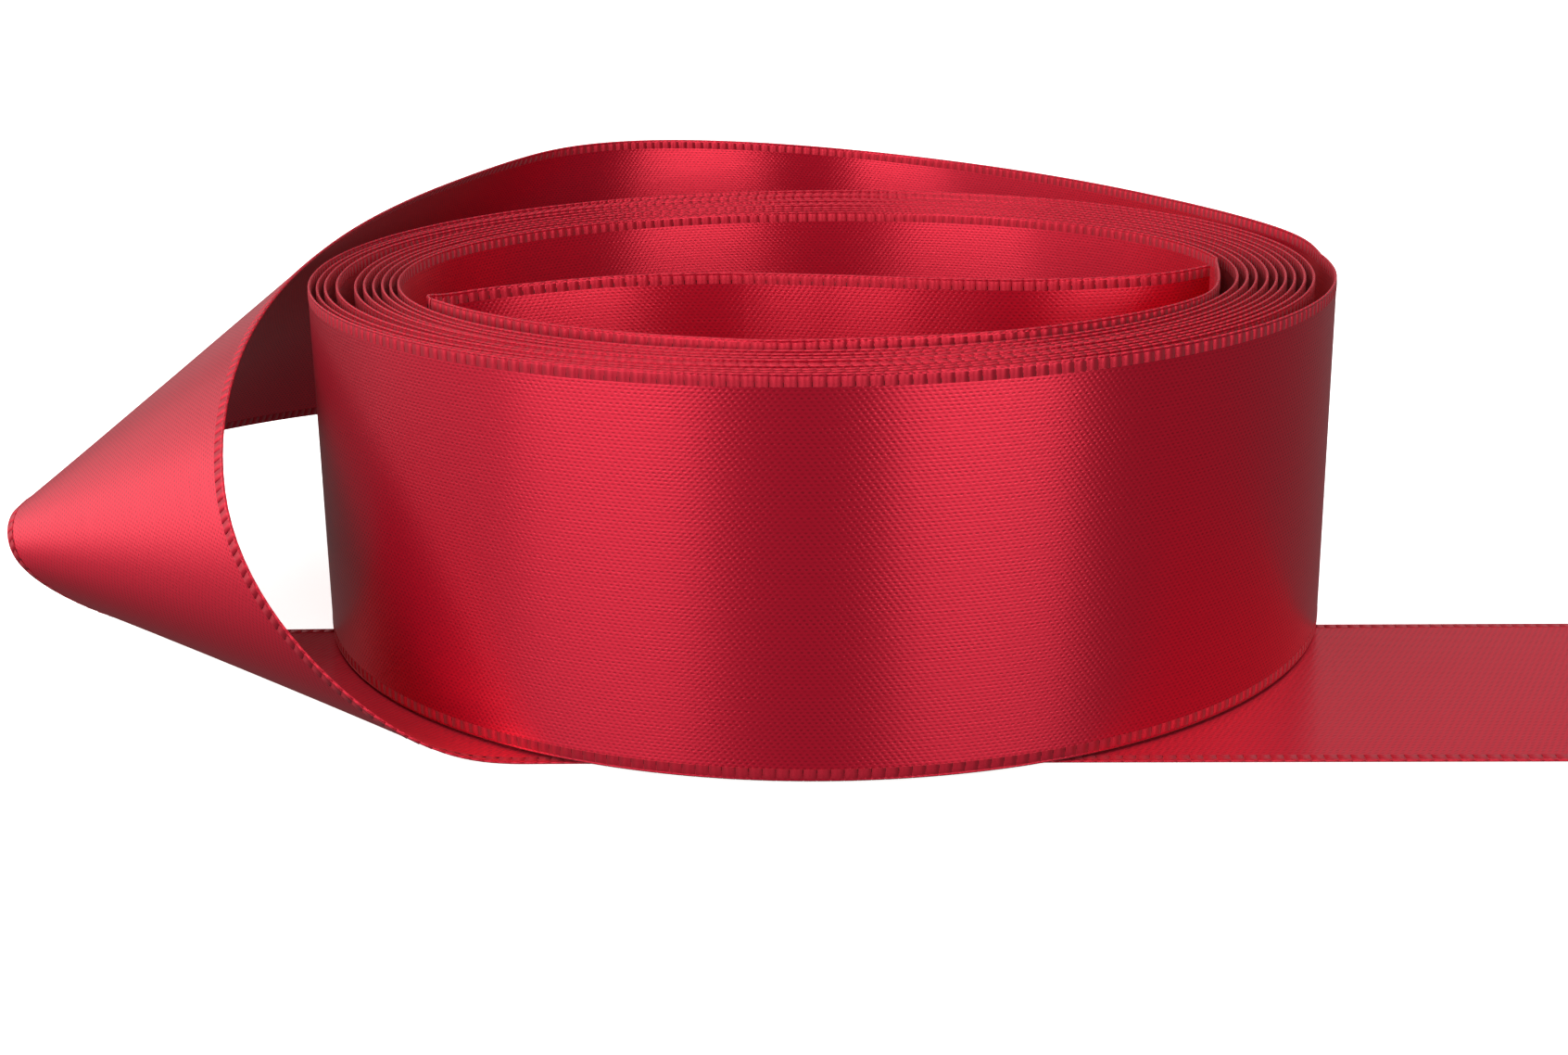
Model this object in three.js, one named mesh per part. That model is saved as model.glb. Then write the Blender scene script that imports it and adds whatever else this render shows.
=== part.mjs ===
// A hand-wound roll of double-faced satin ribbon, standing on edge on its own tail.
// One ribbon, followed from its inner end to its cut tail, in millimetres, +Z up.
// While the ribbon is laid out, the origin is on the table under the middle of the roll.

import * as THREE from 'three';

const RIBBON_WIDTH = 38;
const RIBBON_THICKNESS = 0.4;
const END_GAP = 0.3;

// How far each wound turn stands from the middle of the roll, outermost first.
const RIGHT_RADII = [56.3, 54.1, 53.1, 52.0, 51.0, 50.0, 49.0, 47.8, 46.8, 45.7, 44.7];
const FRONT_RADII = [56.2, 55.2, 54.3, 53.4, 52.4, 51.5, 50.5, 49.5, 48.6, 47.6, 46.2];
const LEFT_RADII = [55.0, 54.1, 53.2, 51.9, 49.9, 48.9, 47.9, 46.9, 46.0, 45.1];
const BACK_RADII = [57.0, 55.1, 53.2, 51.3, 49.4, 47.5, 45.6, 43.7, 41.8, 39.9];

// How high each turn's lower selvedge stands off the table, in the same order.
const RIGHT_LIFTS = [0.7, 0.5, 0.5, 0.4, 0.5, 0.4, 0.5, 0.4, 0.5, 0.4, 0.5];
const FRONT_LIFTS = [0.7, 0.7, 0.7, 0.8, 0.7, 0.9, 0.7, 0.7, 0.8, 0.9, 1.6];
const LEFT_LIFTS = [0.7, 0.5, 0.6, 0.7, 0.5, 0.6, 0.5, 0.6, 0.5, 0.6];
const BACK_LIFTS = [0.4, 0.2, 0.3, 0.1, 0.2, 0.1, 0.2, 0.1, 0.1, 0.1];

const QUARTERS_PER_TURN = 4;
const WOUND_TURNS = 10;

// The inner end, seen from above: along the front wall, a tight fold, then back across.
const LINING_POINTS = [[-13, -43.7], [-24.5, -37.6], [-33, -30.0], [-37.8, -23.8]];
const FOLD_POINTS = [[-39.8, -20.2], [-39.2, -17.6]];
const CHORD_POINTS = [[-36.6, -13.9], [-30, -9.8], [-21, -6.3], [-10, -5.4], [1, -7.4]];
const INNER_TIP_POINTS = [[12, -10.2], [22, -11.8], [31, -11.2], [38, -8.8], [43, -4.8]];
const WALL_LIFTS = [0.5, 0.9, 1.4, 1.6];
const LINING_LIFT = 1.2;
const CHORD_LIFT = 0.5;

// Where the inner end leaves the innermost turn, in quarters past its last mark, and how
// far before a point's number the fold begins and ends.
const LEAVING_QUARTERS = [0, 0.35, 0.7, 1];
const FOLD_START_LEAD = 0.5;
const FOLD_END_LEAD = 0.3;

// The free loop after the roll: [upper selvedge, lower selvedge] at each crease line.
// It swings round the back, leans over at the left and turns flat under the roll.
const LOOP_CREASES = [
  [[55.0, -12.0, 38.7], [55.0, -12.0, 0.7]],
  [[57.0, 0.0, 38.7], [57.0, 0.0, 0.7]],
  [[57.0, 10.0, 39.0], [55.0, 18.0, 1.0]],
  [[52.5, 22.0, 39.5], [47.0, 36.0, 1.6]],
  [[46.8, 44.5, 38.6], [39.5, 59.0, 1.0]],
  [[37.5, 64.0, 38.5], [30.5, 74.5, 1.3]],
  [[23.5, 80.5, 38.9], [18.5, 84.3, 1.8]],
  [[7.0, 88.0, 40.1], [4.0, 88.0, 2.6]],
  [[-9.5, 87.8, 41.6], [-13.0, 87.3, 3.8]],
  [[-24.6, 83.0, 42.6], [-33.5, 80.5, 5.1]],
  [[-35.2, 75.2, 42.6], [-53.5, 65.0, 8.0]],
  [[-41.0, 64.0, 42.1], [-68.7, 44.0, 11.4]],
  [[-45.2, 49.0, 42.0], [-80.0, 21.3, 13.9]],
  [[-50.3, 28.0, 41.9], [-86.0, 4.6, 14.3]],
  [[-56.2, 4.0, 40.2], [-88.8, -4.5, 13.6]],
  [[-60.7, -21.0, 34.3], [-90.0, -7.3, 13.0]],
  [[-58.3, -42.0, 20.8], [-89.3, -11.2, 10.2]],
  [[-47.0, -49.6, 8.0], [-86.0, -12.6, 6.4]],
  [[-36.0, -50.0, 0.2], [-75.0, -11.6, 0.2]],
  [[-27.0, -50.0, 0.2], [-56.0, -11.1, 0.2]],
  [[-18.0, -50.3, 0.2], [-36.0, -11.7, 0.2]],
  [[-8.0, -50.6, 0.2], [-16.0, -12.3, 0.2]],
  [[4.0, -50.9, 0.2], [4.0, -12.9, 0.2]],
];
const LOOP_START_CREASE = 1;
const TURN_OVER_CREASE = 11;
const FLAT_CREASE = 20;
const FLAT_END_CREASE = 21;

// The flat run lies skew under the roll and comes out at the right as the tail.
const FLAT_START_X = 4;
const TAIL_SKEW = -0.03;
const TAIL_HINGE_X = 58;
const TAIL_END_X = 90;

// How many flat facets stand for each curved stretch.
const STEPS_PER_QUARTER = 14;
const LINING_STEPS = 44;
const FOLD_STEPS = 18;
const CHORD_STEPS = 20;
const LOOP_STEPS = 64;
const FLAT_STEPS = 6;

const SATIN = { color: '#c02a3c', roughness: 0.35, metalness: 0 };

// A smooth curve value between evenly spaced values, passing through each of them.
function between(values, position) {
  const last = values.length - 1;
  const index = Math.min(Math.max(Math.floor(position), 0), last - 1);
  const share = position - index;
  const at = (k) => values[Math.min(Math.max(k, 0), last)];
  const [a, b, c, d] = [at(index - 1), at(index), at(index + 1), at(index + 2)];
  const rise = 2 * a - 5 * b + 4 * c - d;
  const bend = 3 * (b - c) + d - a;
  return b + 0.5 * share * (c - a + share * (rise + share * bend));
}

// A point on the smooth curve that the control points pull along with them.
function pulledPoint(points, position) {
  const last = points.length - 1;
  const index = Math.min(Math.max(Math.floor(position), 0), last - 1);
  const share = position - index;
  const rest = 1 - share;
  const weights = [
    rest ** 3,
    3 * share ** 3 - 6 * share ** 2 + 4,
    3 * rest ** 3 - 6 * rest ** 2 + 4,
    share ** 3,
  ];
  const sum = new THREE.Vector3();
  weights.forEach((weight, offset) => {
    const k = Math.min(Math.max(index - 1 + offset, 0), last);
    sum.addScaledVector(new THREE.Vector3(...points[k]), weight / 6);
  });
  return sum;
}

// The four lists above, dealt out in the order in which the ribbon meets them.
function inWindingOrder(right, front, left, back) {
  const values = [];
  for (let turn = 0; turn < right.length; turn += 1) {
    values.push(right[turn], front[turn]);
    if (turn < left.length) values.push(left[turn], back[turn]);
  }
  return values;
}

const woundRadii = inWindingOrder(RIGHT_RADII, FRONT_RADII, LEFT_RADII, BACK_RADII);
const woundLifts = inWindingOrder(RIGHT_LIFTS, FRONT_LIFTS, LEFT_LIFTS, BACK_LIFTS);

// A crease is the straight line across the ribbon from one selvedge to the other.
function standing(x, y, lift) {
  return {
    lower: new THREE.Vector3(x, y, lift),
    upper: new THREE.Vector3(x, y, lift + RIBBON_WIDTH),
  };
}

// Quarters are counted inwards from where the outermost turn leaves the roll.
function woundCrease(quarter) {
  const angle = -quarter * Math.PI / 2;
  const radius = between(woundRadii, quarter);
  const lift = between(woundLifts, quarter);
  return standing(radius * Math.cos(angle), radius * Math.sin(angle), lift);
}

function loopCrease(position) {
  return {
    upper: pulledPoint(LOOP_CREASES.map((crease) => crease[0]), position),
    lower: pulledPoint(LOOP_CREASES.map((crease) => crease[1]), position),
  };
}

// The flat run is still a crease list: straight across, sliding along the table.
function flatCrease(x) {
  const [upper, lower] = LOOP_CREASES[LOOP_CREASES.length - 1];
  const skew = TAIL_SKEW * (x - FLAT_START_X);
  return {
    upper: new THREE.Vector3(x, upper[1] + skew, upper[2]),
    lower: new THREE.Vector3(x, lower[1] + skew, lower[2]),
  };
}

function creases(creaseAt, from, to, steps) {
  const list = [];
  for (let step = 0; step <= steps; step += 1) {
    list.push(creaseAt(from + (to - from) * step / steps));
  }
  return list;
}

// Pulls a stretch's two ends back, so that it stays clear of the next stretch.
function shortened(list) {
  const trim = (crease, inner) => {
    for (const side of ['lower', 'upper']) {
      const step = new THREE.Vector3().subVectors(inner[side], crease[side]);
      const length = Math.max(step.length(), END_GAP);
      crease[side].addScaledVector(step, END_GAP / 2 / length);
    }
  };
  trim(list[0], list[1]);
  trim(list[list.length - 1], list[list.length - 2]);
  return list;
}

const group = new THREE.Group();

// Thickens a row of creases into one closed strip of ribbon.
function addStretch(name, list) {
  shortened(list);
  const positions = [];
  list.forEach((crease, index) => {
    const before = list[Math.max(index - 1, 0)];
    const after = list[Math.min(index + 1, list.length - 1)];
    const along = new THREE.Vector3()
      .add(after.lower).add(after.upper).sub(before.lower).sub(before.upper);
    const across = new THREE.Vector3().subVectors(crease.upper, crease.lower);
    const facing = along.cross(across).normalize().multiplyScalar(RIBBON_THICKNESS / 2);
    for (const edge of [crease.lower, crease.upper]) {
      positions.push(...new THREE.Vector3().addVectors(edge, facing).toArray());
      positions.push(...new THREE.Vector3().subVectors(edge, facing).toArray());
    }
  });
  const indices = [];
  const addQuad = (a, b, c, d) => indices.push(a, b, c, a, c, d);
  const corners = 4;
  for (let index = 0; index + 1 < list.length; index += 1) {
    const here = index * corners;
    const next = here + corners;
    addQuad(here, next, next + 2, here + 2);
    addQuad(here + 2, next + 2, next + 3, here + 3);
    addQuad(here + 3, next + 3, next + 1, here + 1);
    addQuad(here + 1, next + 1, next, here);
  }
  const end = (list.length - 1) * corners;
  addQuad(0, 2, 3, 1);
  addQuad(end, end + 1, end + 3, end + 2);
  const geometry = new THREE.BufferGeometry();
  geometry.setAttribute('position', new THREE.Float32BufferAttribute(positions, 3));
  geometry.setIndex(indices);
  geometry.computeVertexNormals();
  const mesh = new THREE.Mesh(geometry, new THREE.MeshStandardMaterial(SATIN));
  mesh.name = name;
  group.add(mesh);
}

// The wound turns, outermost first.
for (let turn = 1; turn <= WOUND_TURNS; turn += 1) {
  const name = turn === 1 ? 'outer_turn' : `wound_turn_${String(turn).padStart(2, '0')}`;
  const last = turn * QUARTERS_PER_TURN;
  const first = last - QUARTERS_PER_TURN;
  addStretch(name, creases(woundCrease, last, first, QUARTERS_PER_TURN * STEPS_PER_QUARTER));
}

// The inner end: its points run on from the innermost turn.
const liningStart = WOUND_TURNS * QUARTERS_PER_TURN;
const innerPoints = [];
for (const quarters of LEAVING_QUARTERS) {
  const { x, y } = woundCrease(liningStart + quarters).lower;
  innerPoints.push([x, y]);
}
const liningFirst = innerPoints.length;
innerPoints.push(...LINING_POINTS);
const foldFirst = innerPoints.length;
innerPoints.push(...FOLD_POINTS);
const chordFirst = innerPoints.length;
innerPoints.push(...CHORD_POINTS);
const tipFirst = innerPoints.length;
innerPoints.push(...INNER_TIP_POINTS);

function innerLift(position) {
  const wall = between(WALL_LIFTS, Math.min(position, liningFirst - 1));
  const past = THREE.MathUtils.smoothstep(position, liningFirst - 1, foldFirst);
  const folded = THREE.MathUtils.smoothstep(position, foldFirst, chordFirst);
  return wall + (LINING_LIFT - wall) * past + (CHORD_LIFT - LINING_LIFT) * folded;
}

function innerCrease(position) {
  const x = between(innerPoints.map((point) => point[0]), position);
  const y = between(innerPoints.map((point) => point[1]), position);
  return standing(x, y, innerLift(position));
}

const foldStart = foldFirst - FOLD_START_LEAD;
const foldEnd = chordFirst - FOLD_END_LEAD;
const tipStart = tipFirst - 1;
const tipEnd = innerPoints.length - 1;
addStretch('inner_lining', creases(innerCrease, foldStart, 0, LINING_STEPS));
addStretch('inner_fold', creases(innerCrease, foldEnd, foldStart, FOLD_STEPS));
addStretch('inner_chord', creases(innerCrease, tipStart, foldEnd, CHORD_STEPS));
addStretch('inner_tip', creases(innerCrease, tipEnd, tipStart, CHORD_STEPS));

// The free loop, the stretch that turns over, the flat run and the tail.
addStretch('free_loop', creases(loopCrease, LOOP_START_CREASE, TURN_OVER_CREASE, LOOP_STEPS));
addStretch('turned_bight', creases(loopCrease, TURN_OVER_CREASE, FLAT_CREASE, LOOP_STEPS));
const flatRun = creases(loopCrease, FLAT_CREASE, FLAT_END_CREASE, FLAT_STEPS);
flatRun.push(...creases(flatCrease, FLAT_START_X, TAIL_HINGE_X, FLAT_STEPS));
addStretch('flat_run', flatRun);
addStretch('tail', creases(flatCrease, TAIL_HINGE_X, TAIL_END_X, FLAT_STEPS));

// Stand the finished part on its origin: centred in plan, its lowest face on the table.
const reach = new THREE.Box3().setFromObject(group);
const middle = reach.getCenter(new THREE.Vector3());
for (const mesh of group.children) mesh.geometry.translate(-middle.x, -middle.y, -reach.min.z);

export default group;
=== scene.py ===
# %% [markdown]
# # A hand-wound roll of double-faced satin ribbon
# One ribbon, 38 mm wide and almost four metres long, is wound ten times round nothing but
# itself. It stands on edge on its own tail: after the last turn it swings out behind the roll,
# turns over at the left and runs back flat underneath. The scene starts by loading the packed
# part, whose bodies, joints and measures stay as they are. Everything below only dresses it.

import math

import bpy
from mathutils import Matrix, Vector


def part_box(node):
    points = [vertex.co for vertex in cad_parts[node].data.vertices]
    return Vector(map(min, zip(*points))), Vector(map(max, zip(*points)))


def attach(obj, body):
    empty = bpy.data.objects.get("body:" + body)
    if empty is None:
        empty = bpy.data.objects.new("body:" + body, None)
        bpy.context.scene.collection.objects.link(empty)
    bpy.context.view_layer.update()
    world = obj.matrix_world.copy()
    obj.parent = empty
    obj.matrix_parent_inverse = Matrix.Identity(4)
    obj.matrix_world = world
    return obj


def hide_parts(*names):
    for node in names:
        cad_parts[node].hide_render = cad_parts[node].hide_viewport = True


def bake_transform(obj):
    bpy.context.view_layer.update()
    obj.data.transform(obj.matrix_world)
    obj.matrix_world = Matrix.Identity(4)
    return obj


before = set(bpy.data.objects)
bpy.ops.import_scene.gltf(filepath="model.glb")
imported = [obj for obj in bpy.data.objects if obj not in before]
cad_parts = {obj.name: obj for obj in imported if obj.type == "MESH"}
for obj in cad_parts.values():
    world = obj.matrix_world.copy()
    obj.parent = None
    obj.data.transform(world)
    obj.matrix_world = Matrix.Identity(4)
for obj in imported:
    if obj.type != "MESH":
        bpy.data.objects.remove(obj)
bpy.context.view_layer.update()

# %% [markdown]
# ## Where the roll stands
# The part's own origin is under the middle of everything, tail and loop included. The ribbon is
# easier to think about from the middle of the roll, so the first step finds that point again
# from the tail, the only stretch that is quite straight: its far end and its near selvedge are
# a known way off from the middle of the roll.

# %% Find the middle of the roll
MM = 0.001
END_GAP = 0.3
TAIL_SKEW = -0.03
TAIL_END_X = 90
FLAT_START_X = 4
FLAT_NEAR_Y = -50.9
FLAT_FAR_Y = -12.9
FLAT_HEIGHT = 0.2

tail_low, tail_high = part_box("tail")
tail_end = TAIL_END_X - END_GAP / 2
tail_near = FLAT_NEAR_Y + TAIL_SKEW * (tail_end - FLAT_START_X)
ROLL_MIDDLE = Vector((tail_high.x - tail_end * MM, tail_low.y - tail_near * MM, 0))
print("middle of the roll at", tuple(ROLL_MIDDLE))

# %% [markdown]
# ## The camera
# The camera stands low and close, a quarter of a metre in front of the roll and looking down
# at it a little, so that the near wall looks tall and the far wall shows over it. A rotation
# about X tips the camera down from the horizon. A second, tiny one about its own line of sight
# levels the table line the way the picture has it.

# %% Place the camera
CAMERA_SPOT = Vector((-3.75, -242, 81)) * MM
CAMERA_TILT = math.radians(90 - 16.8)
CAMERA_ROLL = math.radians(-0.8)
CAMERA_LENS = 50.43

camera_data = bpy.data.cameras.new("camera")
camera_data.sensor_width = 36
camera_data.lens = CAMERA_LENS
camera_data.clip_start = 0.01
camera = bpy.data.objects.new("camera", camera_data)
camera.matrix_world = (
    Matrix.Translation(ROLL_MIDDLE + CAMERA_SPOT)
    @ Matrix.Rotation(CAMERA_TILT, 4, "X")
    @ Matrix.Rotation(CAMERA_ROLL, 4, "Z")
)
bpy.context.scene.collection.objects.link(camera)
bpy.context.scene.camera = camera
print("camera lens", CAMERA_LENS, "mm")

# %% [markdown]
# ## The ribbon's route, as creases
# Ribbon bends along straight lines that cross it from one selvedge to the other, as paper does.
# So the whole route is written down as those straight lines, here called creases. In the roll
# they stand upright, and only their distance from the middle and their height change, from
# quarter turn to quarter turn. The lists give those distances, outermost turn first.

# %% Measures of the wound turns
RIBBON_WIDTH = 38
WOUND_TURNS = 10
QUARTERS_PER_TURN = 4
RIGHT_RADII = [56.3, 54.1, 53.1, 52.0, 51.0, 50.0, 49.0, 47.8, 46.8, 45.7, 44.7]
FRONT_RADII = [56.2, 55.2, 54.3, 53.4, 52.4, 51.5, 50.5, 49.5, 48.6, 47.6, 46.2]
LEFT_RADII = [55.0, 54.1, 53.2, 51.9, 49.9, 48.9, 47.9, 46.9, 46.0, 45.1]
BACK_RADII = [57.0, 55.1, 53.2, 51.3, 49.4, 47.5, 45.6, 43.7, 41.8, 39.9]
RIGHT_LIFTS = [0.7, 0.5, 0.5, 0.4, 0.5, 0.4, 0.5, 0.4, 0.5, 0.4, 0.5]
FRONT_LIFTS = [0.7, 0.7, 0.7, 0.8, 0.7, 0.9, 0.7, 0.7, 0.8, 0.9, 1.6]
LEFT_LIFTS = [0.7, 0.5, 0.6, 0.7, 0.5, 0.6, 0.5, 0.6, 0.5, 0.6]
BACK_LIFTS = [0.4, 0.2, 0.3, 0.1, 0.2, 0.1, 0.2, 0.1, 0.1, 0.1]


def in_winding_order(right, front, left, back):
    """The four lists dealt out in the order in which the ribbon meets them."""
    values = []
    for turn, value in enumerate(right):
        values += [value, front[turn]]
        if turn < len(left):
            values += [left[turn], back[turn]]
    return values


wound_radii = in_winding_order(RIGHT_RADII, FRONT_RADII, LEFT_RADII, BACK_RADII)
wound_lifts = in_winding_order(RIGHT_LIFTS, FRONT_LIFTS, LEFT_LIFTS, BACK_LIFTS)
print(len(wound_radii), "quarter marks on the wound turns")


# %% [markdown]
# A smooth curve joins the marks. The wound turns use one that passes through every value. The
# loop uses one that is only pulled towards its points, which bends more gently, as ribbon does.


# %% Two smooth curves and the crease itself
def between(values, position):
    """A smooth value between evenly spaced values, passing through each of them."""
    last = len(values) - 1
    index = min(max(math.floor(position), 0), last - 1)
    share = position - index
    a, b, c, d = (values[min(max(index + k, 0), last)] for k in (-1, 0, 1, 2))
    rise = 2 * a - 5 * b + 4 * c - d
    bend = 3 * (b - c) + d - a
    return b + 0.5 * share * (c - a + share * (rise + share * bend))


def pulled_point(points, position):
    """A point on the smooth curve that the control points pull along with them."""
    last = len(points) - 1
    index = min(max(math.floor(position), 0), last - 1)
    share = position - index
    rest = 1 - share
    weights = (
        rest**3,
        3 * share**3 - 6 * share**2 + 4,
        3 * rest**3 - 6 * rest**2 + 4,
        share**3,
    )
    near = [Vector(points[min(max(index - 1 + k, 0), last)]) for k in range(4)]
    return sum((w * p for w, p in zip(weights, near)), Vector()) / 6


def standing(x, y, lift):
    """An upright crease: its lower and its upper selvedge point."""
    return Vector((x, y, lift)), Vector((x, y, lift + RIBBON_WIDTH))


def wound_crease(quarter):
    """Quarters are counted inwards from where the outermost turn leaves the roll."""
    angle = -quarter * math.pi / 2
    radius = between(wound_radii, quarter)
    return standing(
        radius * math.cos(angle), radius * math.sin(angle), between(wound_lifts, quarter)
    )


print("first wound crease", wound_crease(0))


# %% [markdown]
# ## The inner end
# Nothing holds the innermost turn, so the last half metre has sprung away from the wall. It
# follows the near wall to the left, folds back sharply and crosses the hollow in a lazy wave.
# Seen from above that is one line, given by a few points.

# %% Creases of the inner end
LINING_POINTS = [(-13, -43.7), (-24.5, -37.6), (-33, -30.0), (-37.8, -23.8)]
FOLD_POINTS = [(-39.8, -20.2), (-39.2, -17.6)]
CHORD_POINTS = [(-36.6, -13.9), (-30, -9.8), (-21, -6.3), (-10, -5.4), (1, -7.4)]
INNER_TIP_POINTS = [(12, -10.2), (22, -11.8), (31, -11.2), (38, -8.8), (43, -4.8)]
LINING_LIFTS = [0.5, 0.9, 1.4, 1.6]
LINING_LIFT = 1.2
CHORD_LIFT = 0.5
LINING_START = WOUND_TURNS * QUARTERS_PER_TURN

inner_points = []
for quarter in (LINING_START, LINING_START + 0.35, LINING_START + 0.7, LINING_START + 1):
    inner_points.append(tuple(wound_crease(quarter)[0].xy))
lining_first = len(inner_points)
inner_points += LINING_POINTS
fold_first = len(inner_points)
inner_points += FOLD_POINTS
chord_first = len(inner_points)
inner_points += CHORD_POINTS
tip_first = len(inner_points)
inner_points += INNER_TIP_POINTS
inner_last = len(inner_points) - 1


def eased(value, low, high):
    """Nought below low, one above high, and a soft step between them."""
    share = min(max((value - low) / (high - low), 0), 1)
    return share * share * (3 - 2 * share)


def inner_crease(position):
    """Positions are counted outwards from the innermost turn to the ribbon's inner tip."""
    wall = between(LINING_LIFTS, min(position, lining_first - 1))
    past = eased(position, lining_first - 1, fold_first)
    folded = eased(position, fold_first, chord_first)
    lift = wall + (LINING_LIFT - wall) * past + (CHORD_LIFT - LINING_LIFT) * folded
    return standing(
        between([point[0] for point in inner_points], position),
        between([point[1] for point in inner_points], position),
        lift,
    )


print("inner end runs over", inner_last, "marks")

# %% [markdown]
# ## The free loop, the turn-over and the flat run
# Here the creases lean. Each line holds the upper and the lower selvedge point of one crease.
# They swing round the back of the roll, lie over more and more towards the left, and end flat
# on the table, where the ribbon slides under the roll and comes out again as the tail.

# %% Creases of the loop and the flat run
LOOP_CREASES = [
    ((55.0, -12.0, 38.7), (55.0, -12.0, 0.7)),
    ((57.0, 0.0, 38.7), (57.0, 0.0, 0.7)),
    ((57.0, 10.0, 39.0), (55.0, 18.0, 1.0)),
    ((52.5, 22.0, 39.5), (47.0, 36.0, 1.6)),
    ((46.8, 44.5, 38.6), (39.5, 59.0, 1.0)),
    ((37.5, 64.0, 38.5), (30.5, 74.5, 1.3)),
    ((23.5, 80.5, 38.9), (18.5, 84.3, 1.8)),
    ((7.0, 88.0, 40.1), (4.0, 88.0, 2.6)),
    ((-9.5, 87.8, 41.6), (-13.0, 87.3, 3.8)),
    ((-24.6, 83.0, 42.6), (-33.5, 80.5, 5.1)),
    ((-35.2, 75.2, 42.6), (-53.5, 65.0, 8.0)),
    ((-41.0, 64.0, 42.1), (-68.7, 44.0, 11.4)),
    ((-45.2, 49.0, 42.0), (-80.0, 21.3, 13.9)),
    ((-50.3, 28.0, 41.9), (-86.0, 4.6, 14.3)),
    ((-56.2, 4.0, 40.2), (-88.8, -4.5, 13.6)),
    ((-60.7, -21.0, 34.3), (-90.0, -7.3, 13.0)),
    ((-58.3, -42.0, 20.8), (-89.3, -11.2, 10.2)),
    ((-47.0, -49.6, 8.0), (-86.0, -12.6, 6.4)),
    ((-36.0, -50.0, 0.2), (-75.0, -11.6, 0.2)),
    ((-27.0, -50.0, 0.2), (-56.0, -11.1, 0.2)),
    ((-18.0, -50.3, 0.2), (-36.0, -11.7, 0.2)),
    ((-8.0, -50.6, 0.2), (-16.0, -12.3, 0.2)),
    ((4.0, -50.9, 0.2), (4.0, -12.9, 0.2)),
]
LOOP_START = 1
FLAT_CREASE = 21
LOOP_MARKS = FLAT_CREASE - LOOP_START
JOIN_REACH = 1.5


def loop_crease(position):
    """The loop's start is drawn over to the roll, so that the ribbon runs on unbroken."""
    upper = pulled_point([crease[0] for crease in LOOP_CREASES], position)
    lower = pulled_point([crease[1] for crease in LOOP_CREASES], position)
    pull = 1 - eased(position, LOOP_START, LOOP_START + JOIN_REACH)
    if pull > 0:
        roll_lower, roll_upper = wound_crease(0)
        start_upper = pulled_point([crease[0] for crease in LOOP_CREASES], LOOP_START)
        start_lower = pulled_point([crease[1] for crease in LOOP_CREASES], LOOP_START)
        upper += pull * (roll_upper - start_upper)
        lower += pull * (roll_lower - start_lower)
    return lower, upper


def flat_crease(x):
    """The flat run lies straight, and a touch askew, under the roll."""
    skew = TAIL_SKEW * (x - FLAT_START_X)
    return (
        Vector((x, FLAT_FAR_Y + skew, FLAT_HEIGHT)),
        Vector((x, FLAT_NEAR_Y + skew, FLAT_HEIGHT)),
    )


print("loop begins at", loop_crease(LOOP_START))

# %% [markdown]
# ## Cut the route into stretches
# The roll can be pushed up in the middle like a telescope, so its turns ride on different
# bodies of the part. Each turn is therefore made in two halves. The back half rides on its own
# body. The front half starts on one body and ends on the next. Its bend between them is listed,
# but here it stays fixed where it lies.
#
# Each row below says what a stretch is called, which parts of the route it follows, and what
# moves it. The rows run from the ribbon's inner tip to its cut tail.

# %% The list of stretches
CREASES_PER_QUARTER = 48
CREASES_PER_MARK = 10
CREASES_ON_TIP = 60
CREASES_ON_CHORD = 90
CREASES_ON_LINING = 90
CREASES_UNDER_ROLL = 24
CREASES_ON_TAIL = 30
TIP_BEND_START = Vector((-6, -6, 20))
TIP_BEND_END = Vector((9, -9.5, 20))
TIP_CUT = tip_first - 1.8
FOLD_START = fold_first - 0.5
TAIL_CUT_X = 54
TAIL_BEND_START = Vector((54.5, -33, FLAT_HEIGHT))
TAIL_BEND_END = Vector((63, -33, FLAT_HEIGHT))
TURN_BEND = 54
HALF_HEIGHT = 20
LINING_BEND_START = Vector((44, 0, HALF_HEIGHT))
LINING_BEND_END = Vector((-30, 0, HALF_HEIGHT))


def row_of(crease_at, start, end, steps):
    """Creases at even steps from one place on the route to another."""
    return [crease_at(start + (end - start) * step / steps) for step in range(steps + 1)]


def turn_body(turn):
    """The body that carries a wound turn. The outermost turn rests with the loop."""
    return "resting_ribbon" if turn == 1 else f"wound_turn_{turn:02d}_body"


stretches = []
stretches.append(
    {
        "name": "inner_tip",
        "creases": row_of(inner_crease, inner_last, TIP_CUT, CREASES_ON_TIP),
        "bodies": ("inner_end", "inner_tip_body"),
        "bend": (TIP_BEND_START, TIP_BEND_END),
        "nodes": ["inner_tip"],
        "held": "laid",
    }
)
stretches.append(
    {
        "name": "inner_chord",
        "creases": row_of(inner_crease, TIP_CUT, FOLD_START, CREASES_ON_CHORD),
        "bodies": ("inner_end",),
        "nodes": ["inner_fold", "inner_chord"],
        "held": "folded",
    }
)
stretches.append(
    {
        "name": "inner_lining",
        "creases": row_of(inner_crease, FOLD_START, 0, CREASES_ON_LINING),
        "bodies": (turn_body(WOUND_TURNS), "inner_end"),
        "bend": (LINING_BEND_START, LINING_BEND_END),
        "nodes": ["inner_lining"],
        "held": "laid",
    }
)
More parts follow.
